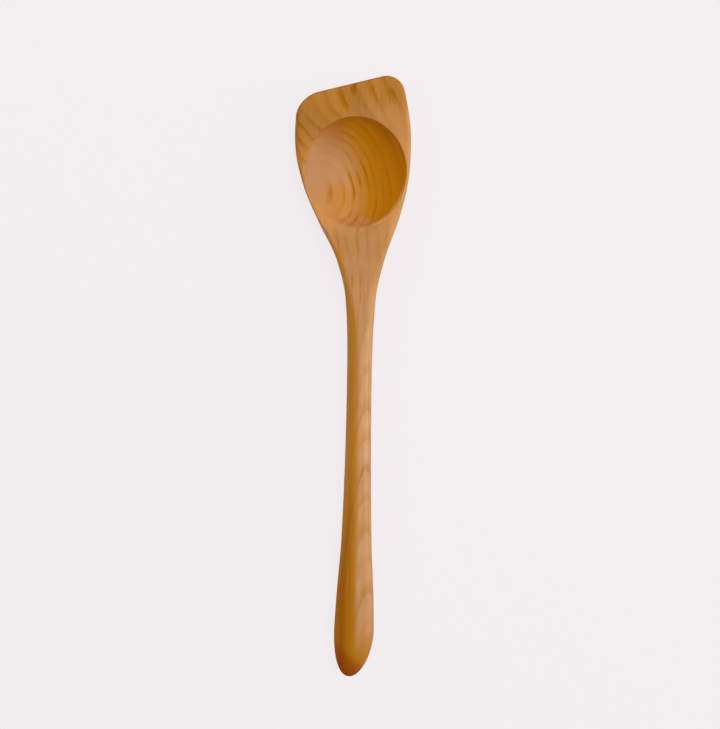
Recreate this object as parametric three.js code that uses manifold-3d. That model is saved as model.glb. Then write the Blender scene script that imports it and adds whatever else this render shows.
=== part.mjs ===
// A wooden spatula spoon carved from one board: a blade with a slanted front edge, a round bowl,
// a slim neck, an oval handle and a swollen grip that ends in a rounded butt.
// Millimetres, +Z up, +Y from the butt to the blade. It lies on Z = 0 with its bowl facing up.

import * as THREE from 'three';
import { LoftGeometry } from 'three/addons/geometries/LoftGeometry.js';
import { mergeVertices } from 'three/addons/utils/BufferGeometryUtils.js';
import Module from 'manifold-3d';

// Where the stations of the spoon lie, along its middle line
const LENGTH = 301.3; // butt to front edge
const HEAD_FROM_FRONT = 28; // the widest place
const CHEEK_FROM_FRONT = 49;
const SHOULDER_FROM_FRONT = 69;
const THROAT_FROM_FRONT = 89;
const NECK_FROM_FRONT = 109;
const WAIST_FROM_BUTT = 152; // the slimmest place
const HANDLE_FROM_BUTT = 72;
const SWELL_FROM_BUTT = 42;
const GRIP_FROM_BUTT = 24;

// How wide the spoon is at each station, measured along the slant on the head
const FRONT_WIDTH = 51.9; // before its corners are rounded
const HEAD_WIDTH = 58.3;
const CHEEK_WIDTH = 53.6;
const SHOULDER_WIDTH = 41.2;
const THROAT_WIDTH = 24.6;
const NECK_WIDTH = 15.4;
const WAIST_WIDTH = 12.6;
const HANDLE_WIDTH = 15.2;
const SWELL_WIDTH = 18.8;
const GRIP_WIDTH = 20.3;

// How far the middle of the width lies right of the middle line, for a spoon cut with a slight bow
const FRONT_LEAN = -2;
const HEAD_LEAN = 0;
const SHOULDER_LEAN = 3.3;
const THROAT_LEAN = 4;
const WAIST_LEAN = 3.2;
const GRIP_LEAN = 0.45;
const HANDLE_LEAN = 1.75;
const BUTT_SKEW = -2.4; // the tip of the butt, beside the middle of the grip
const SKEW_EASE = 1.5; // 1 skews the butt evenly, more keeps the skew to its tip

// The front edge
const EDGE_SLANT = 13.6; // degrees, the right corner reaches further
const LEFT_CORNER_RADIUS = 10;
const RIGHT_CORNER_RADIUS = 9;
const EDGE_NOSE = 2; // length over which the edge rounds off
const EDGE_THICKNESS = 3;
const EDGE_BLUNTNESS = 0.3; // share of its thickness that is left flat at the very front
const BEVEL_LENGTH = 13; // the top of the blade falls to the edge over this length
const BEVEL_FALL = 1.5;

// The bowl
const BLADE_LENGTH = 16.8; // front edge to bowl
const BOWL_LENGTH = 57.4;
const BOWL_DEPTH = 10;
const BOWL_FULLNESS = 0.8; // 0.5 is half an ellipse, 1 is a parabola
const BOWL_OFFSET = 1.2; // bowl centre to the right of the head's middle
const BOWL_MARGIN = 3.1; // wood beside the bowl where the head is widest
const FLOOR_THICKNESS = 5;

// The underside and the heights of the handle
const REST_LENGTH = 22; // the flat that the belly rests on
const REST_WIDTH = 16;
const BLADE_FLAT = 26; // width of the flat under the front edge
const NECK_THICKNESS = 10.6;
const NECK_LIFT = 3;
const HANDLE_THICKNESS = 12.4;
const HANDLE_LIFT = 2.6;
const GRIP_THICKNESS = 14.4;
const BUTT_ROUND = 15; // length over which the thickness rounds off at the butt
const BUTT_BLUNTNESS = 0.04; // share of its width and thickness that is left flat at the tip

// The round along the top edges, which grows from the bowl back until the handle is an oval
const EDGE_ROUND = 2.2;
const ROUND_START_FROM_FRONT = 83;
const ROUND_END_FROM_FRONT = 144;
const CREST_FLAT = 0.4; // width left flat along the crest and the keel of the oval

// How finely the curves are faceted
const QUARTER_STEPS = 7; // a quarter of a cross-section
const HANDLE_STEP = 6.5;
const HEAD_STEP = 3.4;
const END_STEPS = 9; // front corners and butt
const BOWL_SIDES = 72;
const BOWL_RINGS = 14;

const RIM_HEIGHT = FLOOR_THICKNESS + BOWL_DEPTH;
const { clamp, degToRad, lerp, smoothstep } = THREE.MathUtils;

const wasm = await Module();
wasm.setup();

function fromFront(distance) {
  return LENGTH - distance;
}

// The slope of a fair line at a station: level at a crest or dip, else between the grades on its two sides
function slopeAt(before, after) {
  if (before * after <= 0) return 0;
  const limit = 3 * Math.min(Math.abs(before), Math.abs(after));
  return Math.sign(before) * Math.min(Math.sqrt(before * after), limit);
}

// A fair line through [place, value] stations: it overshoots none, and is level between equal values
function fairLine(stations) {
  const places = stations.map(([place]) => place);
  const values = stations.map(([, value]) => value);
  const last = places.length - 1;
  const runs = places.slice(1).map((place, i) => place - places[i]);
  const grades = runs.map((run, i) => (values[i + 1] - values[i]) / run);
  const slopes = places.map((place, i) => {
    if (i === 0 || i === last) return 0;
    return slopeAt(grades[i - 1], grades[i]);
  });
  slopes[0] = 1.5 * grades[0] - 0.5 * slopes[1];
  slopes[last] = 1.5 * grades[last - 1] - 0.5 * slopes[last - 1];
  return (place) => {
    const at = clamp(place, places[0], places[last]);
    const span = clamp(places.findIndex((next) => next >= at) - 1, 0, last - 1);
    const t = (at - places[span]) / runs[span];
    const rise = values[span + 1] - values[span];
    const bend = slopes[span] * runs[span] * t * (1 - t) ** 2 - slopes[span + 1] * runs[span] * t * t * (1 - t);
    return values[span] + rise * t * t * (3 - 2 * t) + bend;
  };
}

// A quarter of an ellipse: 0 at its end, 1 once the distance from the end is the reach
function quarterRound(distance, reach) {
  const left = 1 - clamp(distance / reach, 0, 1);
  return Math.sqrt(1 - left * left);
}

// The same with a blunt end, which keeps a small flat there
function bluntRound(distance, reach, blunt) {
  return lerp(blunt, 1, quarterRound(distance, reach));
}

const bowlCentre = fromFront(BLADE_LENGTH + BOWL_LENGTH / 2);
const restFront = bowlCentre + REST_LENGTH / 2;
const restBack = bowlCentre - REST_LENGTH / 2;
const bowlBack = bowlCentre - BOWL_LENGTH / 2;
const waist = WAIST_FROM_BUTT;
const neck = fromFront(NECK_FROM_FRONT);

const widthLine = fairLine([
  [GRIP_FROM_BUTT, GRIP_WIDTH],
  [SWELL_FROM_BUTT, SWELL_WIDTH],
  [HANDLE_FROM_BUTT, HANDLE_WIDTH],
  [waist, WAIST_WIDTH],
  [neck, NECK_WIDTH],
  [fromFront(THROAT_FROM_FRONT), THROAT_WIDTH],
  [fromFront(SHOULDER_FROM_FRONT), SHOULDER_WIDTH],
  [fromFront(CHEEK_FROM_FRONT), CHEEK_WIDTH],
  [fromFront(HEAD_FROM_FRONT), HEAD_WIDTH],
  [LENGTH, FRONT_WIDTH],
]);

const leanLine = fairLine([
  [GRIP_FROM_BUTT, GRIP_LEAN],
  [HANDLE_FROM_BUTT, HANDLE_LEAN],
  [waist, WAIST_LEAN],
  [fromFront(THROAT_FROM_FRONT), THROAT_LEAN],
  [fromFront(SHOULDER_FROM_FRONT), SHOULDER_LEAN],
  [fromFront(HEAD_FROM_FRONT), HEAD_LEAN],
  [LENGTH, FRONT_LEAN],
]);

// Side view: the underside rises from the flat to the front edge and to the neck, and comes down at the grip
const undersideLine = fairLine([
  [GRIP_FROM_BUTT, 0],
  [HANDLE_FROM_BUTT, HANDLE_LIFT],
  [neck, NECK_LIFT],
  [restBack, 0],
  [restFront, 0],
  [LENGTH, RIM_HEIGHT - BEVEL_FALL - EDGE_THICKNESS],
]);

const topLine = fairLine([
  [GRIP_FROM_BUTT, GRIP_THICKNESS],
  [HANDLE_FROM_BUTT, HANDLE_LIFT + HANDLE_THICKNESS],
  [neck, NECK_LIFT + NECK_THICKNESS],
  [bowlBack, RIM_HEIGHT],
  [fromFront(BEVEL_LENGTH), RIM_HEIGHT],
  [LENGTH, RIM_HEIGHT - BEVEL_FALL],
]);

// The flat stretch of the underside between its two rounded sides
const keelLine = fairLine([
  [neck, CREST_FLAT],
  [restBack, REST_WIDTH],
  [restFront, REST_WIDTH],
  [LENGTH, BLADE_FLAT],
]);

// The chord of a station is as slanted as the front edge at the front, and square across by the neck
function chordSlope(station) {
  return Math.tan(degToRad(EDGE_SLANT)) * clamp((station - neck) / (LENGTH - neck), 0, 1);
}

// Left and right ends of the chord of a station, with the front corners and the butt rounded
function chordEnds(station) {
  const distance = LENGTH - station;
  const half = (widthLine(station) / 2) * bluntRound(station, GRIP_FROM_BUTT, BUTT_BLUNTNESS);
  const tipward = clamp(1 - station / GRIP_FROM_BUTT, 0, 1);
  const middle = leanLine(station) + BUTT_SKEW * tipward ** SKEW_EASE;
  const leftCut = LEFT_CORNER_RADIUS * (1 - quarterRound(distance, LEFT_CORNER_RADIUS));
  const rightCut = RIGHT_CORNER_RADIUS * (1 - quarterRound(distance, RIGHT_CORNER_RADIUS));
  return [middle - half + leftCut, middle + half - rightCut];
}

// Underside and top of a station, drawn together at the front edge and at the butt
function heights(station) {
  const distance = LENGTH - station;
  const low = undersideLine(station);
  const high = topLine(station);
  const middle = (low + high) / 2;
  const half = (high - low) / 2;
  const edge = bluntRound(distance, EDGE_NOSE, EDGE_BLUNTNESS);
  const butt = bluntRound(station, BUTT_ROUND, BUTT_BLUNTNESS);
  return [middle - half * edge * butt, middle + half * edge * butt];
}

// One cross-section: four quarter ellipses, the upper two growing from an edge round to half of an oval
function crossSection(station) {
  const [left, right] = chordEnds(station);
  const [low, high] = heights(station);
  const half = (right - left) / 2;
  const thickness = high - low;
  const oval = 1 - smoothstep(station, fromFront(ROUND_END_FROM_FRONT), fromFront(ROUND_START_FROM_FRONT));
  const topRound = Math.min(EDGE_ROUND, half / 2);
  const keel = Math.min(keelLine(station), half);
  const crest = Math.min(CREST_FLAT, half);
  const topRun = lerp(topRound, half - crest / 2, oval);
  const topRise = lerp(Math.min(EDGE_ROUND, thickness / 2), thickness / 2, oval);
  const lowRun = half - keel / 2;
  const sideHeight = high - topRise;
  const points = [];
  const add = (across, height) => {
    points.push(new THREE.Vector3(across, station + chordSlope(station) * across, height));
  };
  for (let i = 0; i <= QUARTER_STEPS; i++) {
    const angle = (i / QUARTER_STEPS) * (Math.PI / 2);
    add(left + topRun * (1 - Math.cos(angle)), sideHeight + topRise * Math.sin(angle));
  }
  for (let i = QUARTER_STEPS; i >= 0; i--) {
    const angle = (i / QUARTER_STEPS) * (Math.PI / 2);
    add(right - topRun * (1 - Math.cos(angle)), sideHeight + topRise * Math.sin(angle));
  }
  for (let i = 1; i <= QUARTER_STEPS; i++) {
    const angle = (i / QUARTER_STEPS) * (Math.PI / 2);
    add(right - lowRun * (1 - Math.cos(angle)), sideHeight - (sideHeight - low) * Math.sin(angle));
  }
  for (let i = QUARTER_STEPS; i >= 1; i--) {
    const angle = (i / QUARTER_STEPS) * (Math.PI / 2);
    add(left + lowRun * (1 - Math.cos(angle)), sideHeight - (sideHeight - low) * Math.sin(angle));
  }
  return points;
}

// Stations at about equal steps, from the first place up to the last one
function evenStations(first, last, step) {
  const count = Math.max(1, Math.round((last - first) / step));
  return Array.from({ length: count }, (unused, i) => first + ((last - first) * i) / count);
}

// Stations that crowd toward an end, so that its round has facets of equal turn
function endStations(reach) {
  return Array.from({ length: END_STEPS }, (unused, i) => {
    return reach * (1 - Math.cos((i / END_STEPS) * (Math.PI / 2)));
  });
}

function allStations() {
  const cornerReach = Math.max(LEFT_CORNER_RADIUS, RIGHT_CORNER_RADIUS);
  return [
    ...endStations(GRIP_FROM_BUTT),
    ...evenStations(GRIP_FROM_BUTT, neck, HANDLE_STEP),
    ...evenStations(neck, restBack, HEAD_STEP),
    ...evenStations(restBack, restFront, HEAD_STEP),
    ...evenStations(restFront, fromFront(cornerReach), HEAD_STEP),
    fromFront(cornerReach),
    ...endStations(cornerReach).map(fromFront).reverse(),
  ];
}

// The dish that is scooped out, a turned bowl stretched along the spoon and open to above the rim
function dishGeometry() {
  const profile = [];
  for (let i = 0; i <= BOWL_RINGS; i++) {
    const reach = Math.sin((i / BOWL_RINGS) * (Math.PI / 2));
    profile.push(new THREE.Vector2(reach, -BOWL_DEPTH * (1 - reach * reach) ** BOWL_FULLNESS));
  }
  profile.push(new THREE.Vector2(1, BOWL_DEPTH));
  profile.push(new THREE.Vector2(0, BOWL_DEPTH));
  const dish = new THREE.LatheGeometry(profile, BOWL_SIDES);
  dish.rotateX(Math.PI / 2);
  dish.scale(HEAD_WIDTH / 2 - BOWL_MARGIN, BOWL_LENGTH / 2, 1);
  dish.translate(HEAD_LEAN + BOWL_OFFSET, bowlCentre, RIM_HEIGHT);
  return dish;
}

// A closed solid for cutting, with its shared corners merged and collapsed triangles left out
function solidFrom(geometry) {
  const bare = new THREE.BufferGeometry().copy(geometry);
  bare.deleteAttribute('normal');
  bare.deleteAttribute('uv');
  const merged = mergeVertices(bare);
  const corners = merged.index.array;
  const kept = [];
  for (let i = 0; i < corners.length; i += 3) {
    const [a, b, c] = corners.slice(i, i + 3);
    if (a !== b && b !== c && c !== a) kept.push(a, b, c);
  }
  const vertProperties = new Float32Array(merged.attributes.position.array);
  const triVerts = new Uint32Array(kept);
  return new wasm.Manifold(new wasm.Mesh({ numProp: 3, vertProperties, triVerts }));
}

function geometryFrom(solid) {
  const mesh = solid.getMesh();
  const geometry = new THREE.BufferGeometry();
  geometry.setAttribute('position', new THREE.BufferAttribute(mesh.vertProperties, mesh.numProp));
  geometry.setIndex(new THREE.BufferAttribute(mesh.triVerts, 1));
  geometry.computeVertexNormals();
  return geometry;
}

// The wood is one piece from the blade to the butt
function spatulaSpoon() {
  const sections = allStations().map(crossSection);
  const blank = new LoftGeometry(sections, { capStart: true, capEnd: true });
  const carved = geometryFrom(solidFrom(blank).subtract(solidFrom(dishGeometry())));
  const wood = new THREE.MeshStandardMaterial({ color: 0xb57c40, roughness: 0.55, metalness: 0 });
  const spoon = new THREE.Mesh(carved, wood);
  spoon.name = 'spatula_spoon';
  return spoon;
}

// The origin is on the table, under the middle of the spoon's outline
const spoon = spatulaSpoon();
const outline = new THREE.Box3().setFromObject(spoon);
const middle = outline.getCenter(new THREE.Vector3());
spoon.position.set(-middle.x, -middle.y, -outline.min.z);

const model = new THREE.Group();
model.add(spoon);

export default model;
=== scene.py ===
# Dresses the wooden spatula spoon: one carved body in oiled wood, on a pale floor in soft studio light.
import math
from types import SimpleNamespace

import bmesh
import bpy
import numpy as np
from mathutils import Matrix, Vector


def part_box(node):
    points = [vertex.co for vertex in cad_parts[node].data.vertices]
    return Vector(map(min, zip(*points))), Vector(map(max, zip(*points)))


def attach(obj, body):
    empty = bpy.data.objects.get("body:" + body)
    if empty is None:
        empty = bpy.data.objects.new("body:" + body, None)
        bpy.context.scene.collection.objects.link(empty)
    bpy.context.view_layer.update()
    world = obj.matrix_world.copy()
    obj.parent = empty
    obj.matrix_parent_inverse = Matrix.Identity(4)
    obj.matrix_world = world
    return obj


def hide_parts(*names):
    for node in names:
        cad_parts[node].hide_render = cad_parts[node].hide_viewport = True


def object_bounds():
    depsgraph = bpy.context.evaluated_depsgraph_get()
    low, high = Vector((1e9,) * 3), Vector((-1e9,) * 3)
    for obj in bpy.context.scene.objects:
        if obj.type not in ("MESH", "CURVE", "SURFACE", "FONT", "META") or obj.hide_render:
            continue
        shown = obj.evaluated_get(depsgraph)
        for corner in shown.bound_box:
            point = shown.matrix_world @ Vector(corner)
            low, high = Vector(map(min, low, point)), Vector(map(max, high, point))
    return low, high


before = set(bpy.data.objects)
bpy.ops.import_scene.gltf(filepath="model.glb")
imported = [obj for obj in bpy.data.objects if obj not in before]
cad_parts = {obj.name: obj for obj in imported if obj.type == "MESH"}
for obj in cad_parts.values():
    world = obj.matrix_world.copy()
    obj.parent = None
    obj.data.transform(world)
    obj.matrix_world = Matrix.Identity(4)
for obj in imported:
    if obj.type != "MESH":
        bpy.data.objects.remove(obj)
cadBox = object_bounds()
mm = 0.001
print("frame loaded:", sorted(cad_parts))

scene = bpy.context.scene
scene.view_settings.view_transform = "Standard"


# small helpers for meshes

def fairLine(stations):  # a smooth line through (place, value) stations that overshoots none of them
    places = np.array([place for place, value in stations], float)
    values = np.array([value for place, value in stations], float)
    runs = np.diff(places)
    grades = np.diff(values) / runs
    before, after = grades[:-1], grades[1:]
    limit = 3 * np.minimum(abs(before), abs(after))
    between = np.sign(before) * np.minimum(np.sqrt(abs(before * after)), limit)
    slopes = np.zeros(len(places))
    slopes[1:-1] = np.where(before * after > 0, between, 0)
    slopes[0] = 1.5 * grades[0] - 0.5 * slopes[1]
    slopes[-1] = 1.5 * grades[-1] - 0.5 * slopes[-2]

    def valueAt(place):
        at = np.clip(place, places[0], places[-1])
        span = np.clip(np.searchsorted(places, at) - 1, 0, len(runs) - 1)
        t = (at - places[span]) / runs[span]
        rise = values[span + 1] - values[span]
        bend = runs[span] * t * (1 - t) * (slopes[span] * (1 - t) - slopes[span + 1] * t)
        return values[span] + rise * t * t * (3 - 2 * t) + bend

    return valueAt


def quarterRound(distance, reach):  # 0 at the end, 1 once the distance is the reach
    left = 1 - np.clip(distance / reach, 0, 1)
    return np.sqrt(1 - left * left)


def smoothStep(value, low, high):
    t = np.clip((value - low) / (high - low), 0, 1)
    return t * t * (3 - 2 * t)


def crowded(reach, count):  # places that crowd toward 0, the first one at 0
    return reach * (1 - np.cos(np.linspace(0, math.pi / 2, count, endpoint=False)))


def gridObject(name, rows):  # closed rings of points, joined row to row and capped at both ends
    rowCount, ringCount = rows.shape[:2]
    body = bmesh.new()
    points = [[body.verts.new(Vector(p) * mm) for p in row] for row in rows]
    for i in range(rowCount - 1):
        for j in range(ringCount):
            k = (j + 1) % ringCount
            body.faces.new((points[i][j], points[i][k], points[i + 1][k], points[i + 1][j]))
    body.faces.new(points[0])
    body.faces.new(points[-1])
    bmesh.ops.recalc_face_normals(body, faces=body.faces)
    mesh = bpy.data.meshes.new(name)
    body.to_mesh(mesh)
    body.free()
    made = bpy.data.objects.new(name, mesh)
    scene.collection.objects.link(made)
    return made


# the spoon, in millimetres along its middle line from the butt

spoon = {
    "length": 301.3,  # butt to front edge
    "headAt": 28, "cheekAt": 49, "shoulderAt": 69, "throatAt": 89, "neckAt": 109,  # back from the front edge
    "waistAt": 152, "handleAt": 72, "swellAt": 42, "gripAt": 24,  # up from the butt
    "frontWidth": 51.9, "headWidth": 58.3, "cheekWidth": 53.6, "shoulderWidth": 41.2, "throatWidth": 24.6,
    "neckWidth": 15.4, "waistWidth": 12.6, "handleWidth": 15.2, "swellWidth": 18.8, "gripWidth": 20.3,
    "frontLean": -2, "headLean": 0, "shoulderLean": 3.3, "throatLean": 4,  # middle of the width, rightward
    "waistLean": 3.2, "handleLean": 1.75, "gripLean": 0.45,
    "buttSkew": -2.4, "skewEase": 1.5, "buttRound": 15, "buttBlunt": 0.02,
    "edgeSlant": 13.6, "leftCorner": 10, "rightCorner": 9,
    "edgeNose": 2, "edgeThickness": 3, "edgeBlunt": 0.2, "bevelLength": 13, "bevelFall": 1.5,
    "restLength": 22, "restWidth": 16, "bladeFlat": 26,
    "neckThickness": 10.6, "neckLift": 3, "handleThickness": 12.4, "handleLift": 2.6, "gripThickness": 14.4,
    "edgeRound": 2.2, "roundStartAt": 83, "roundEndAt": 144, "crestFlat": 0.1,
    "topPoints": 72, "lowPoints": 48, "headStep": 1.0, "handleStep": 1.6, "endRows": 26, "sharpAngle": 40,
}

bowl = {
    "bladeLength": 16.8, "length": 57.4, "depth": 10, "fullness": 0.8, "offset": 1.2, "margin": 3.1,
    "floor": 5, "lipRound": 0.45,
    "softLipRound": 16, "softLipTurn": 240, "softLipPower": 6,  # the lip runs out soft toward the neck
    "lipAngle": 2.5, "airMargin": 3, "sides": 192, "rings": 44, "lipRings": 12,
}

frontAt = spoon["length"]
neckAt = frontAt - spoon["neckAt"]
rimHeight = bowl["floor"] + bowl["depth"]
bowlAt = frontAt - bowl["bladeLength"] - bowl["length"] / 2
restFrontAt = bowlAt + spoon["restLength"] / 2
restBackAt = bowlAt - spoon["restLength"] / 2


def spoonLines():
    s = spoon
    width = fairLine([
        (s["gripAt"], s["gripWidth"]), (s["swellAt"], s["swellWidth"]), (s["handleAt"], s["handleWidth"]),
        (s["waistAt"], s["waistWidth"]), (neckAt, s["neckWidth"]),
        (frontAt - s["throatAt"], s["throatWidth"]), (frontAt - s["shoulderAt"], s["shoulderWidth"]),
        (frontAt - s["cheekAt"], s["cheekWidth"]), (frontAt - s["headAt"], s["headWidth"]),
        (frontAt, s["frontWidth"]),
    ])
    lean = fairLine([
        (s["gripAt"], s["gripLean"]), (s["handleAt"], s["handleLean"]), (s["waistAt"], s["waistLean"]),
        (frontAt - s["throatAt"], s["throatLean"]), (frontAt - s["shoulderAt"], s["shoulderLean"]),
        (frontAt - s["headAt"], s["headLean"]), (frontAt, s["frontLean"]),
    ])
    low = fairLine([
        (s["gripAt"], 0), (s["handleAt"], s["handleLift"]), (neckAt, s["neckLift"]), (restBackAt, 0),
        (restFrontAt, 0), (frontAt, rimHeight - s["bevelFall"] - s["edgeThickness"]),
    ])
    high = fairLine([
        (s["gripAt"], s["gripThickness"]), (s["handleAt"], s["handleLift"] + s["handleThickness"]),
        (neckAt, s["neckLift"] + s["neckThickness"]), (bowlAt - bowl["length"] / 2, rimHeight),
        (frontAt - s["bevelLength"], rimHeight), (frontAt, rimHeight - s["bevelFall"]),
    ])
    keel = fairLine([
        (neckAt, s["crestFlat"]), (restBackAt, s["restWidth"]), (restFrontAt, s["restWidth"]),
        (frontAt, s["bladeFlat"]),
    ])
    return width, lean, low, high, keel


def spoonStations():
    s = spoon
    corner = max(s["leftCorner"], s["rightCorner"])
    handle = np.arange(s["gripAt"], neckAt, s["handleStep"])
    head = np.arange(neckAt, frontAt - corner, s["headStep"])
    front = frontAt - crowded(corner, s["endRows"])[::-1]
    return np.concatenate([crowded(s["gripAt"], s["endRows"]), handle, head, front])


def spoonBlank():  # the sawn and rounded blank, before the bowl is scooped out
    s = spoon
    width, lean, low, high, keel = spoonLines()
    at = spoonStations()[:, None]
    fromFront = frontAt - at
    tipward = np.clip(1 - at / s["gripAt"], 0, 1)
    buttWide = s["buttBlunt"] + (1 - s["buttBlunt"]) * quarterRound(at, s["gripAt"])
    buttThick = s["buttBlunt"] + (1 - s["buttBlunt"]) * quarterRound(at, s["buttRound"])
    nose = s["edgeBlunt"] + (1 - s["edgeBlunt"]) * quarterRound(fromFront, s["edgeNose"])
    middle = lean(at) + s["buttSkew"] * tipward ** s["skewEase"]
    half = width(at) / 2 * buttWide
    left = middle - half + s["leftCorner"] * (1 - quarterRound(fromFront, s["leftCorner"]))
    right = middle + half - s["rightCorner"] * (1 - quarterRound(fromFront, s["rightCorner"]))
    half = (right - left) / 2
    middle = (right + left) / 2
    halfThick = (high(at) - low(at)) / 2 * nose * buttThick
    level = (high(at) + low(at)) / 2
    top, under = level + halfThick, level - halfThick
    oval = 1 - smoothStep(at, frontAt - s["roundEndAt"], frontAt - s["roundStartAt"])
    edge = np.minimum(s["edgeRound"], half / 2)
    topRun = edge + (half - np.minimum(s["crestFlat"], half) / 2 - edge) * oval
    topRise = np.minimum(s["edgeRound"], halfThick) * (1 - oval) + halfThick * oval
    lowRun = half - np.minimum(keel(at), half) / 2
    side = top - topRise
    turn = np.linspace(0, math.pi, s["topPoints"])[None, :]
    back = np.linspace(math.pi, 0, s["lowPoints"] + 2)[None, 1:-1]
    topX = middle - half * np.cos(turn)
    lowX = middle - half * np.cos(back)
    topZ = side + topRise * quarterRound(half * (1 - abs(np.cos(turn))), topRun)
    lowZ = side - (side - under) * quarterRound(half * (1 - abs(np.cos(back))), lowRun)
    x = np.concatenate([topX, lowX], axis=1)
    z = np.concatenate([topZ, lowZ], axis=1)
    slope = math.tan(math.radians(s["edgeSlant"])) * np.clip((at - neckAt) / (frontAt - neckAt), 0, 1)
    y = at + slope * x
    return gridObject("spoon_blank", np.stack([x, y, z], axis=-1))


def bowlCutter():  # what the gouge takes out: the dish, its rounded lip and the air above
    b = bowl
    around = np.linspace(0, 2 * math.pi, b["sides"], endpoint=False)
    halfWide, halfLong = spoon["headWidth"] / 2 - b["margin"], b["length"] / 2
    reachOut = np.hypot(halfWide * np.cos(around), halfLong * np.sin(around))
    soft = 0.5 + 0.5 * np.cos(around - math.radians(b["softLipTurn"]))
    lip = b["lipRound"] + (b["softLipRound"] - b["lipRound"]) * soft ** b["softLipPower"]
    flat = math.radians(b["lipAngle"])

    def depthAt(reach):
        return b["depth"] * (1 - reach ** 2) ** b["fullness"]

    def slopeAt(reach):
        steepness = 2 * b["depth"] * b["fullness"] * reach * (1 - reach ** 2) ** (b["fullness"] - 1)
        return np.arctan(steepness / reachOut)

    halvings, outermost = 40, 0.9999
    near, far = np.zeros(b["sides"]), np.full(b["sides"], outermost)
    for _ in range(halvings):  # where a lip of that radius leaves the wall and ends level with the top
        last = (near + far) / 2
        tooDeep = depthAt(last) > lip * (math.cos(flat) - np.cos(slopeAt(last)))
        near, far = np.where(tooDeep, last, near), np.where(tooDeep, far, last)
    steep = slopeAt(last)
    rows = []

    def addRing(reach, out, z):
        x = np.cos(around) * (halfWide * reach + out)
        y = np.sin(around) * (halfLong * reach + out)
        rows.append(np.stack([x, y, np.broadcast_to(z, around.shape)], axis=-1))

    for i in range(1, b["rings"] + 1):
        reach = last * math.sin(i / b["rings"] * math.pi / 2)
        addRing(reach, 0, -depthAt(reach))
    for i in range(1, b["lipRings"] + 1):
        angle = steep + (flat - steep) * i / b["lipRings"]
        addRing(last, lip * (np.sin(steep) - np.sin(angle)), lip * (np.cos(angle) - math.cos(flat)))
    edge = lip * (np.sin(steep) - math.sin(flat)) + b["airMargin"]
    addRing(last, edge, b["airMargin"] * math.tan(flat))
    addRing(last, edge, b["depth"])
    middle = [spoon["headLean"] + b["offset"], bowlAt, rimHeight]
    return gridObject("bowl_cutter", np.array(rows) + middle)


def carvedSpoon():
    blank, cutter = spoonBlank(), bowlCutter()
    scoop = blank.modifiers.new("scoop", "BOOLEAN")
    scoop.operation = "DIFFERENCE"
    scoop.solver = "EXACT"
    scoop.object = cutter
    carved = bpy.data.meshes.new_from_object(blank.evaluated_get(bpy.context.evaluated_depsgraph_get()))
    bpy.data.objects.remove(blank)
    bpy.data.objects.remove(cutter)
    corners = np.array([v.co for v in carved.vertices])
    low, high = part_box("spatula_spoon")
    shift = (low + high) / 2 - Vector((corners.min(0) + corners.max(0)) / 2)
    shift.z = low.z - corners[:, 2].min()
    for vertex in carved.vertices:
        vertex.co += shift
    carved.polygons.foreach_set("use_smooth", [True] * len(carved.polygons))
    carved.set_sharp_from_angle(angle=math.radians(spoon["sharpAngle"]))
    piece = bpy.data.objects.new("carved_spoon", carved)
    scene.collection.objects.link(piece)
    print("spoon carved:", len(carved.polygons), "faces")
    return piece


# shader maths: a socket that can be added, scaled and so on

class Wire:
    def __init__(self, tree, socket=None):
        self.tree = tree
        self.socket = socket

    def add(self, kind, settings=None, inputs=None, out=0):  # any node, its settings first, then its sockets
        node = self.tree.nodes.new(kind)
        for name, value in (settings or {}).items():
            setattr(node, name, value)
        for name, value in (inputs or {}).items():
            if isinstance(value, Wire):
                self.tree.links.new(value.socket, node.inputs[name])
            else:
                node.inputs[name].default_value = value
        return Wire(self.tree, node.outputs[out] if len(node.outputs) else None)

    def math(self, operation, *values):
        return self.add("ShaderNodeMath", {"operation": operation}, dict(enumerate(values)))

    def __add__(self, other):
        return self.math("ADD", self, other)

    def __radd__(self, other):
        return self.math("ADD", other, self)

    def __sub__(self, other):
        return self.math("SUBTRACT", self, other)

    def __rsub__(self, other):
        return self.math("SUBTRACT", other, self)

    def __mul__(self, other):
        return self.math("MULTIPLY", self, other)

    def __rmul__(self, other):
        return self.math("MULTIPLY", other, self)

    def __truediv__(self, other):
        return self.math("DIVIDE", self, other)

    def __rtruediv__(self, other):
        return self.math("DIVIDE", other, self)

    def __pow__(self, other):
        return self.math("POWER", self, other)

    def __rpow__(self, other):
        return self.math("POWER", other, self)


def rising(wire, span):  # 0 before the span, 1 past it, smooth in between
    inputs = {"Value": wire, "From Min": span[0], "From Max": span[1]}
    return wire.add("ShaderNodeMapRange", {"interpolation_type": "SMOOTHSTEP"}, inputs)


def falling(wire, span):
    return 1 - rising(wire, span)


def lerped(share, first, last):  # a number that goes from first to last with the share
    return share * (last - first) + first


def larger(first, second):
    return first.math("MAXIMUM", first, second)


def unsigned(wire):
    return wire.math("ABSOLUTE", wire)


def swing(place, grainSize, detail):  # noise from about -1 to 1, its grain so many mm across and along
    across, along = grainSize
    grains = {0: place, 1: (1 / across, 1 / along, 1 / across)}
    grains = place.add("ShaderNodeVectorMath", {"operation": "MULTIPLY"}, grains)
    return place.add("ShaderNodeTexNoise", {}, {"Vector": grains, "Scale": 1.0, "Detail": detail}) * 2 - 1


def reach(x, y, middle, half):  # how far a point lies from a middle, counted in half widths
    across, along = (x - middle[0]) / half[0], (y - middle[1]) / half[1]
    return (across * across + along * along) ** 0.5


def axesOf(wire):
    node = wire.add("ShaderNodeSeparateXYZ", {}, {0: wire}).socket.node
    return [Wire(wire.tree, socket) for socket in node.outputs]


def blended(share, first, second):  # two colours
    return share.add("ShaderNodeMix", {"data_type": "RGBA"}, {0: share, 6: first, 7: second}, 2)


def tinted(color, share, tint):
    settings = {"data_type": "RGBA", "blend_type": "MULTIPLY"}
    return color.add("ShaderNodeMix", settings, {0: share, 6: color, 7: tint}, 2)


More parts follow.
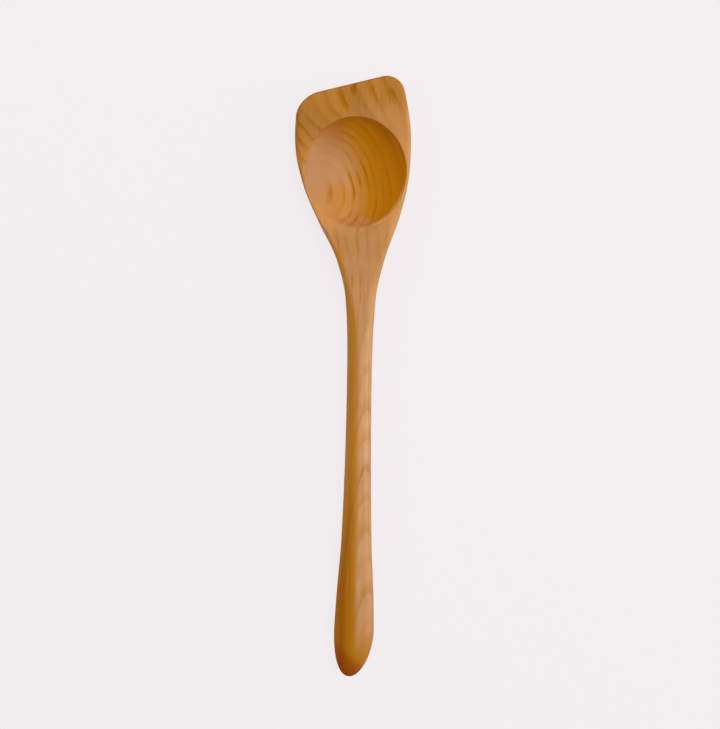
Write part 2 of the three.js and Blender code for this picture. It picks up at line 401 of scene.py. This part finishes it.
def newMaterial(name):
    material = bpy.data.materials.new(name)
    material.use_nodes = True
    material.node_tree.nodes.clear()
    return material, Wire(material.node_tree)


# oiled wood, sizes in millimetres in the spoon's own frame
# a pair is a span: "Across" on x and "Along" on y, from where a mark starts to where it is full or gone

headWear = {
    "bowlMiddle": (1.2, 103.6), "bowlHalf": (26.0, 28.6), "bowlEdge": (0.96, 1.02), "facingUp": (-0.1, 0.1),
    "runOut": 0.35, "runOutAlong": (78, 94), "runOutAcross": (3, 13),  # the bowl runs out at the neck
    # painted shade on the far wall of the bowl, darker farther from this middle
    "farWallShadeMiddle": (-27.9, 94.9), "farWallShadeReach": (40, 45.5), "deepReach": (46, 56), "deepAlong": (102, 116),
    "topAlong": (118, 130), "topAcross": (6, 18), "topLessShade": 0.7,  # less of the painted shade on the wall by the blade
    "lipStart": (0.945, 0.98), "lipEnd": (0.985, 1.01), "lipWider": 0.025,  # in half widths of the bowl
    # painted light on the bowl's steep lip, at the top
    "topLipAlong": (119, 127), "topLipFromAcross": (-18, -8), "topLipToAcross": (13, 22), "topLipLight": 0.75,
    "lowRightAcross": (6, 14), "lowRightAlong": (92, 104),  # painted light: the steep lip is made pale there too
    "bladeAlong": (108, 130),  # darker and duller toward the front
    "rimAcross": (14, 25), "rimEndAlong": (129, 144),  # the right side has more sheen, and less of the blade's darker colour: painted light
    "rimTurn": 16, "rimTurnAlong": (116, 138),
    "stepAlong": (92, 102), "paleStep": 9, "paleAcross": (-17, -8),  # painted light: the near side of the bowl is paler and pinker, with evener layers
    "hushStep": 4.05, "hushAcross": (-17, -5),  # and its lines are fainter
    "lowLeftFromAlong": (66, 78), "lowLeftToAlong": (84, 96), "lowLeftAcross": (-9, -2),
    "spotMiddle": (-6.5, 90.5), "spotHalf": (7, 9), "spotEdge": (0.6, 1.1), "spotClear": 0.8,
    "gapMiddle": (5, 89), "gapHalf": (3.6, 10),
    "bareAcross": (0, 8), "bareFromAlong": (70, 90), "bareToAlong": (133, 145),
    "shadedAcross": (-23, -13), "shadedAlong": (106, 118),
}


def headMarks(m):  # masks for the bowl, its lip and the blade
    h = headWear
    x, y = m.x, m.y
    up = rising(m.facing[2], h["facingUp"])
    runOut = falling(y, h["runOutAlong"]) * falling(x, h["runOutAcross"])
    bowlReach = reach(x, y, h["bowlMiddle"], h["bowlHalf"])
    edgeStart, edgeEnd = h["bowlEdge"]
    m.inBowl = falling(bowlReach, (edgeStart - runOut * h["runOut"], edgeEnd)) * up
    farWall = reach(x, y, h["farWallShadeMiddle"], (1, 1))
    # painted shade: the bowl's far wall is darkened, less so by the blade
    topWall = rising(y, h["topAlong"]) * falling(x, h["topAcross"])
    m.soaked = m.inBowl * rising(farWall, h["farWallShadeReach"]) * (1 - topWall * h["topLessShade"])
    m.soakedDeep = m.inBowl * rising(farWall, h["deepReach"]) * rising(y, h["deepAlong"])
    lowRight = rising(x, h["lowRightAcross"]) * falling(y, h["lowRightAlong"])
    # painted light: the steep wall at the lip is made pale at the top and the lower right
    lip = rising(bowlReach, h["lipStart"]) * falling(bowlReach - lowRight * h["lipWider"], h["lipEnd"]) * up
    topLipLight = rising(y, h["topLipAlong"]) * rising(x, h["topLipFromAcross"]) * falling(x, h["topLipToAcross"])
    m.rubbed = lip * (topLipLight * h["topLipLight"] + lowRight)
    m.blade = rising(y, h["bladeAlong"]) * (1 - m.inBowl)
    turned = x + rising(y, h["rimTurnAlong"]) * h["rimTurn"]
    m.rightRim = rising(turned, h["rimAcross"]) * falling(y, h["rimEndAlong"])
    step = rising(y, h["stepAlong"])
    # painted light on the bowl's near side
    m.pale = m.inBowl * falling(x - step * h["paleStep"], h["paleAcross"])
    hush = m.inBowl * falling(x - step * h["hushStep"], h["hushAcross"])
    lowLeft = rising(y, h["lowLeftFromAlong"]) * falling(y, h["lowLeftToAlong"])
    hush = larger(hush, lowLeft * falling(x, h["lowLeftAcross"]))
    m.spot = falling(reach(x, y, h["spotMiddle"], h["spotHalf"]), h["spotEdge"])  # a few short arcs
    m.hush = hush * (1 - m.spot * h["spotClear"])
    m.gap = falling(reach(x, y, h["gapMiddle"], h["gapHalf"]), h["spotEdge"])  # a clear patch by them
    bare = rising(x, h["bareAcross"]) * rising(y, h["bareFromAlong"]) * falling(y, h["bareToAlong"])
    m.bare = bare * (1 - m.inBowl)
    # painted shade at the lower left of the bowl
    m.shaded = m.inBowl * falling(x, h["shadedAcross"]) * falling(y, h["shadedAlong"])


handleWear = {
    "handleAlong": (10, 45), "wornAlong": (-90, -10), "gripAlong": (-125, -46), "handledAlong": (-150, -45),
    "buttAlong": (-146, -120), "tipAlong": (-148, -139), "tipLean": 0.9, "endFacing": (0.3, 0.9),
    "dullAt": 2.6, "dullGrip": -1.5, "dullRun": 8, "dullRunAlong": (20, 62),  # dull left of the crest: less sheen and fainter lines, partly painted shade on that side
    "dullAcross": (-1.7, 1.7), "dullEndAlong": (62, 70), "dullWander": 0.8,
    "throatFromAlong": (10, 40), "throatToAlong": (60, 84),
    "throatMottle": (-0.3, 0.3), "throatLeast": 0.25, "throatMore": 0.65,
    "streakAt": -0.8, "streakSwing": -5.1, "streakWander": 0.6,  # a darker, more saturated streak along the left of the handle: partly the wood's own streak, partly painted shade on that side
    "coreHalf": 0.3, "coreEnd": 1.7, "streakWide": 3.7, "gripWide": 2, "coreEndAlong": (-72, -40),
}


def handleMarks(m):  # masks for the neck, the handle and the grip
    h = handleWear
    x, y = m.x, m.y
    m.onHandle = falling(y, h["handleAlong"])
    m.worn = falling(y, h["wornAlong"])
    m.grip = falling(y, h["gripAlong"])
    m.handled = falling(y, h["handledAlong"])
    m.butt = falling(y, h["buttAlong"])
    m.tip = falling(y + x * h["tipLean"], h["tipAlong"])
    m.endGrain = rising(unsigned(m.facing[1]), h["endFacing"])
    crest = h["dullAt"] - rising(y, h["dullRunAlong"]) * h["dullRun"] + m.grip * h["dullGrip"]
    crest = crest + (m.cloud + m.ripple) * h["dullWander"]
    # partly painted shade: less sheen and fainter lines left of the crest
    m.dull = falling(x - crest, h["dullAcross"]) * falling(y, h["dullEndAlong"])
    throat = rising(y, h["throatFromAlong"]) * falling(y, h["throatToAlong"]) * (1 - m.inBowl)
    m.throat = throat * (h["throatLeast"] + rising(m.mottle, h["throatMottle"]) * h["throatMore"])
    aside = unsigned(x - h["streakAt"] - m.grip * h["streakSwing"] + m.cloud * h["streakWander"])
    m.streak = falling(aside, (h["coreHalf"], m.grip * h["gripWide"] + h["streakWide"])) * m.onHandle
    m.core = falling(aside, (h["coreHalf"], h["coreEnd"])) * m.onHandle
    m.lowCore = m.core * falling(y, h["coreEndAlong"])


grain = {
    "layer": 2.34, "phase": 0.96,  # thickness of a growth layer, and where the count starts
    "uneven": 0.3, "unevenScale": 0.8,
    "neckTilt": 0.55, "headTilt": 0.362, "neckDepth": 0.88, "headDepth": 0.70, "headAlong": (30, 110),
    "bladeTilt": 0.234, "bladeAlong": (104, 152),
    "deepTilt": 0.0164,  # the layers stand steeper lower down, for each mm below the rim
    "meanGrade": 0.0374, "gradeSwing": 0.1951, "turnAt": 54.5, "turnRound": 36,  # they turn over at the neck
    "warp": 0.5, "warpSize": (26, 80), "ripple": 0.55, "rippleSize": (5, 22),
    "ragged": 0.22, "raggedSize": (0.8, 7),
    "cloudSize": (15, 50), "mottleSize": (3.5, 9), "waveSize": (9, 15), "fibreSize": (0.4, 10),
    "poreSize": (0.2, 2.8), "poreSpan": (0.34, 0.52), "stripeSize": (1.4, 60), "stripeSpan": (0.0, 0.6),
    "toneSeed": 0.37,
    "lineStart": (0.45, 0.84), "lineEnd": (0.88, 1.0), "bladeLine": 0.05,  # within a layer
    "fadeSize": (8, 20), "fadeSpan": (-0.3, 0.4), "handleFade": 0.6, "fadeLeast": 0.2, "yearLeast": 0.4,
    "hush": 0.88, "throat": 0.95, "gap": 0.7, "soaked": 0.55, "dull": 0.6, "bare": 0.8,  # what fades lines
    "onHandle": 0.05, "inBowl": 0.5, "blade": 0.6,  # the last two add to them
}


def woodNoise(place, m):
    g = grain
    m.ripple = swing(place, g["rippleSize"], 2) * g["ripple"]
    m.cloud = swing(place, g["cloudSize"], 2)
    m.mottle = swing(place, g["mottleSize"], 2)
    m.wave = swing(place, g["waveSize"], 1)
    m.fibre = swing(place, g["fibreSize"], 3)
    m.pores = rising(swing(place, g["poreSize"], 1), g["poreSpan"])
    m.stripe = rising(swing(place, g["stripeSize"], 2), g["stripeSpan"])


def growthLayers(place, m):  # tilted layers through the whole body, each ending in a dark line
    g = grain
    m.headward = rising(m.y, g["headAlong"])
    tilt = lerped(m.headward, g["neckTilt"], g["headTilt"])
    tilt = tilt + rising(m.y, g["bladeAlong"]) * (g["bladeTilt"] - g["headTilt"])
    tilt = tilt + (rimHeight - m.z) * g["deepTilt"]
    past = m.y - g["turnAt"]
    grade = m.y * g["meanGrade"] + (past * past + g["turnRound"] ** 2) ** 0.5 * g["gradeSwing"]
    warp = swing(place, g["warpSize"], 1) * g["warp"]
    ragged = swing(place, g["raggedSize"], 2) * g["ragged"]
    depth = m.x * tilt + m.z * lerped(m.headward, g["neckDepth"], g["headDepth"]) + grade
    layers = (depth + warp + m.ripple + ragged) / g["layer"] + g["phase"]
    oneWay = {"noise_dimensions": "1D"}
    uneven = layers.add("ShaderNodeTexNoise", oneWay, {"W": layers, "Scale": g["unevenScale"]})
    layers = layers + (uneven - 0.5) * g["uneven"]
    grown = layers.math("FRACT", layers)
    number = layers.math("FLOOR", layers)
    year = layers.add("ShaderNodeTexWhiteNoise", oneWay, {"W": number})
    m.tone = layers.add("ShaderNodeTexWhiteNoise", oneWay, {"W": number + g["toneSeed"]})
    lineFrom, lineTo = g["lineStart"]  # a line is soft on the side that grew first
    line = rising(grown, (lineFrom - m.blade * g["bladeLine"], lineTo)) * falling(grown, g["lineEnd"])
    faded = larger(rising(swing(place, g["fadeSize"], 2), g["fadeSpan"]), m.onHandle * g["handleFade"])
    line = line * lerped(faded, g["fadeLeast"], 1) * lerped(year, g["yearLeast"], 1)
    line = line * (1 - m.hush * g["hush"]) * (1 - m.throat * g["throat"]) * (1 - m.gap * g["gap"])
    line = line * (1 + m.inBowl * g["inBowl"] + m.blade * g["blade"]) * (1 - m.soaked * g["soaked"])
    m.line = line * (1 - m.dull * g["dull"]) * (1 - m.bare * g["bare"]) * (1 - m.onHandle * g["onHandle"])


stain = {
    "earlyColor": (0.58, 0.222, 0.006, 1), "lateColor": (0.45, 0.158, 0.003, 1),
    "lateLeast": 0.4, "lateCloud": 0.5, "lateFibre": 0.3, "lateSpan": (-0.1, 1.1),
    "bladeColor": (0.40, 0.152, 0.0035, 1), "blade": 0.7, "rimClear": 0.5,
    "toneSpread": 0.15, "bladeSpread": 0.22,  # how unlike the layers are
    "farWallShadeTint": (0.94, 0.86, 0.4, 1), "soakedDeep": 0.3,  # painted shade on the bowl's far wall, on top of the lamps' own shade there
    # painted light on the bowl's lip
    "rubbedColor": (0.72, 0.33, 0.08, 1), "rubbed": 0.85,
    "shadedTint": (0.86, 0.83, 0.8, 1), "paleTint": (0.93, 0.90, 1.0, 1),
    "streakColor": (0.505, 0.188, 0.003, 1), "gripStreakColor": (0.37, 0.106, 0.001, 1), "streak": 0.8,
    "coreTint": (0.78, 0.76, 0.4, 1), "core": 0.7, "coreGrip": 0.5,
    "stripeTint": (0.74, 0.63, 0.4, 1), "handleStripe": 0.8, "headStripe": 0.4,
    "lineTint": (0.80, 0.74, 0.28, 1), "spotLine": 0.9, "poreTint": (0.75, 0.68, 0.5, 1), "pores": 0.6,
    "handledColor": (0.43, 0.165, 0.004, 1), "handled": 0.8,  # darker toward the grip
    "endColor": (0.37, 0.084, 0.001, 1), "endGrain": 0.7,
    "tipColor": (0.335, 0.052, 0.001, 1), "tip": 0.65,  # darkest at the lower left of the butt's end: partly the end's own darkness, partly painted shade
}


def woodColor(m):
    s = stain
    late = s["lateLeast"] + m.cloud * s["lateCloud"] + m.fibre * s["lateFibre"]
    color = blended(rising(late, s["lateSpan"]), s["earlyColor"], s["lateColor"])
    # the right rim keeps less of the blade's darker colour: painted light
    color = blended(m.blade * (1 - m.rightRim * s["rimClear"]) * s["blade"], color, s["bladeColor"])
    spread = lerped(m.blade, s["toneSpread"], s["bladeSpread"])
    lighter = (m.tone - 0.5) * (1 - m.pale) * spread + 1
    color = color.add("ShaderNodeVectorMath", {"operation": "SCALE"}, {0: color, "Scale": lighter})
    # painted shade on the bowl's far wall
    color = tinted(color, m.soaked, s["farWallShadeTint"])
    color = tinted(color, m.soakedDeep * s["soakedDeep"], s["farWallShadeTint"])
    # painted light on the bowl's lip
    color = blended(m.rubbed * s["rubbed"], color, s["rubbedColor"])
    # painted shade at the lower left of the bowl
    color = tinted(color, m.shaded, s["shadedTint"])
    # painted light on the bowl's near side
    color = tinted(color, m.pale, s["paleTint"])
    streakColor = blended(m.grip, s["streakColor"], s["gripStreakColor"])
    # partly a streak in the wood, partly painted shade on the handle's left
    color = blended(m.streak * s["streak"], color, streakColor)
    color = tinted(color, m.lowCore * (1 - m.grip * s["coreGrip"]) * s["core"], s["coreTint"])
    stripe = m.stripe * lerped(m.headward, s["handleStripe"], s["headStripe"])
    color = tinted(color, stripe * (1 - m.inBowl), s["stripeTint"])
    color = tinted(color, m.line * (1 - m.spot * s["spotLine"]), s["lineTint"])
    color = tinted(color, m.pores * s["pores"], s["poreTint"])
    color = blended(m.handled * (1 - m.streak) * s["handled"], color, s["handledColor"])
    color = blended(m.endGrain * s["endGrain"], color, s["endColor"])
    # partly painted shade at the butt's lower left
    return blended(m.tip * s["tip"], color, s["tipColor"])


oil = {
    "specular": 0.04, "coatRoughness": 0.47, "coatIndex": 1.95,
    "roughness": 0.6, "fibreRough": 0.08, "lineRough": 0.3,
    "handleCoat": 1.0, "headCoat": 0.42, "bladeCoat": 0.26, "rimCoat": 0.22, "rimBlade": 0.5, "mottle": 0.5,
    "bowlCoat": 0.71, "glossMiddle": (-28, 97), "glossHalf": (1, 1.25), "glossReach": (22.5, 39),
    "worn": 0.1, "spot": 0.35, "butt": 0.9, "throat": 0.2, "core": 0.45,  # what each takes off the sheen
    "line": 0.9, "handleLine": 0.45, "dull": 0.62, "dullWorn": 0.16, "dullGrip": 0.2,
    "bumpDepth": 0.0001, "fibreBump": 0.06, "poreBump": 0.15, "lineBump": 0.1,
}


def oilCoat(m):  # a satin sheen, less of it where the wood is worn or dull, and on the bowl's far wall, where the missing sheen is painted shade
    o = oil
    coat = lerped(m.headward, o["handleCoat"], o["headCoat"]) * (1 - m.worn * o["worn"])
    coat = coat + m.blade * (1 - m.rightRim) * (o["bladeCoat"] - o["headCoat"])
    coat = coat + m.rightRim * (1 - m.blade * o["rimBlade"]) * o["rimCoat"]
    coat = coat * (1 + m.mottle * o["mottle"])
    # less sheen away from the bowl's near side: painted shade on the far wall
    bowlCoat = falling(reach(m.x, m.y, o["glossMiddle"], o["glossHalf"]), o["glossReach"]) * o["bowlCoat"]
    coat = coat * (1 - m.inBowl) + bowlCoat * m.inBowl
    coat = coat * (1 - m.spot * o["spot"]) * (1 - m.butt * o["butt"]) * (1 - m.throat * o["throat"])
    coat = coat * (1 - m.line * (o["line"] - m.onHandle * o["handleLine"])) * (1 - m.core * o["core"])
    return coat * (1 - m.dull * (m.worn * o["dullWorn"] + m.grip * o["dullGrip"] + o["dull"]))


def woodMaterial():
    o = oil
    material, start = newMaterial("oiled_wood")
    place = start.add("ShaderNodeTexCoord", out="Object")
    place = place.add("ShaderNodeVectorMath", {"operation": "SCALE"}, {0: place, "Scale": 1 / mm})
    x, y, z = axesOf(place)
    m = SimpleNamespace(x=x, y=y, z=z, facing=axesOf(start.add("ShaderNodeTexCoord", out="Normal")))
    woodNoise(place, m)
    headMarks(m)
    handleMarks(m)
    growthLayers(place, m)
    height = m.wave + m.fibre * o["fibreBump"] - m.pores * o["poreBump"] - m.line * o["lineBump"]
    bump = {"Strength": 1.0, "Distance": o["bumpDepth"], "Height": height}
    shown = place.add("ShaderNodeBsdfPrincipled", {}, {
        "Specular IOR Level": o["specular"],
        "Coat Roughness": o["coatRoughness"],
        "Coat IOR": o["coatIndex"],
        "Base Color": woodColor(m),
        "Roughness": m.fibre * o["fibreRough"] + m.line * o["lineRough"] + o["roughness"],
        "Coat Weight": oilCoat(m),
        "Normal": place.add("ShaderNodeBump", {}, bump),
    })
    place.add("ShaderNodeOutputMaterial", {}, {"Surface": shown})
    print("wood mixed")
    return material


# floor, light and camera

studio = {
    "floorSize": 8.0, "floorDrop": 0.0002, "paperColor": (0.905, 0.863, 0.880, 1),
    "paperShade": 0.10, "shadeReach": (0.5, 2.0),  # how much of the shadow shows, and how far out
    "roomColor": (0.085, 0.085, 0.085, 1),
}

window = {"turn": 10, "rise": 16, "away": 2.0, "wide": 3.0, "tall": 1.1, "power": 26}
ceiling = {"turn": 0, "rise": 70, "away": 2.0, "wide": 2.2, "tall": 2.2, "power": 25.5}
skylight = {"turn": 100, "rise": 36, "away": 2.0, "wide": 2.6, "tall": 1.2, "power": 18.5}
bounce = {"turn": 195, "rise": 35, "away": 2.0, "wide": 1.6, "tall": 1.2, "power": 6.8}

lens = {"focal": 100, "sensor": 36, "photoWide": 720, "photoTall": 729, "spoonTall": 601.2,
        "spoonMiddle": (353.05, 376.7), "heightOfOutline": 0.011}


def paperFloor():
    s = studio
    half = s["floorSize"] / 2
    mesh = bpy.data.meshes.new("paper_floor")
    corners = [(-half, -half), (half, -half), (half, half), (-half, half)]
    mesh.from_pydata([(x, y, -s["floorDrop"]) for x, y in corners], [], [(0, 1, 2, 3)])
    floor = bpy.data.objects.new("paper_floor", mesh)
    scene.collection.objects.link(floor)
    material, start = newMaterial("pale_paper")
    ray = start.add("ShaderNodeLightPath").socket.node
    seen = Wire(start.tree, ray.outputs["Is Camera Ray"])
    seen = larger(seen, Wire(start.tree, ray.outputs["Is Glossy Ray"]))
    seen = larger(seen, Wire(start.tree, ray.outputs["Is Transmission Ray"]))
    x, y, z = axesOf(start.add("ShaderNodeTexCoord", out="Object"))
    near = falling(reach(x, y, (0, 0), (1, 1)), s["shadeReach"])
    matte = start.add("ShaderNodeBsdfDiffuse", {}, {"Color": s["paperColor"]})
    glow = start.add("ShaderNodeEmission", {}, {"Color": s["paperColor"], "Strength": 1.0})
    shown = start.add("ShaderNodeMixShader", {}, {0: seen * (1 - near * s["paperShade"]), 1: matte, 2: glow})
    start.add("ShaderNodeOutputMaterial", {}, {"Surface": shown})
    mesh.materials.append(material)


def softRoom():  # dim all round, but seen as the paper
    s = studio
    world = bpy.data.worlds.new("soft_room")
    scene.world = world
    world.use_nodes = True
    world.node_tree.nodes.clear()
    start = Wire(world.node_tree)
    room = start.add("ShaderNodeBackground", {}, {"Color": s["roomColor"]})
    paper = start.add("ShaderNodeBackground", {}, {"Color": s["paperColor"]})
    seen = start.add("ShaderNodeLightPath", out="Is Camera Ray")
    shown = start.add("ShaderNodeMixShader", {}, {0: seen, 1: room, 2: paper})
    start.add("ShaderNodeOutputWorld", {}, {"Surface": shown})


def panelLight(name, panel):  # a soft white panel that faces the spoon
    turn, rise = math.radians(panel["turn"]), math.radians(panel["rise"])
    toward = Vector((math.cos(turn) * math.cos(rise), math.sin(turn) * math.cos(rise), math.sin(rise)))
    lamp = bpy.data.lights.new(name, "AREA")
    lamp.shape = "RECTANGLE"
    lamp.size = panel["wide"]
    lamp.size_y = panel["tall"]
    lamp.energy = panel["power"]
    holder = bpy.data.objects.new(name, lamp)
    holder.location = toward * panel["away"]
    holder.rotation_euler = toward.to_track_quat("Z", "Y").to_euler()
    scene.collection.objects.link(holder)


def topCamera():  # straight above, framed so that the spoon lies where it does in the photograph
    c = lens
    long = (cadBox[1] - cadBox[0]).y
    pixel = long / c["spoonTall"]
    camera = bpy.data.cameras.new("camera")
    camera.lens = c["focal"]
    camera.sensor_width = c["sensor"]
    holder = bpy.data.objects.new("camera", camera)
    away = c["photoTall"] * pixel * c["focal"] / c["sensor"]
    aside = (c["photoWide"] / 2 - c["spoonMiddle"][0]) * pixel
    ahead = (c["spoonMiddle"][1] - c["photoTall"] / 2) * pixel
    holder.location = (aside, ahead, away + c["heightOfOutline"])
    scene.collection.objects.link(holder)
    scene.camera = holder


topCamera()
paperFloor()
softRoom()
panelLight("window", window)
panelLight("ceiling", ceiling)
panelLight("skylight", skylight)
panelLight("bounce", bounce)
print("studio set")

carved = carvedSpoon()
carved.data.materials.clear()
carved.data.materials.append(woodMaterial())
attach(carved, "root")
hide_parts("spatula_spoon")

print("dressed")
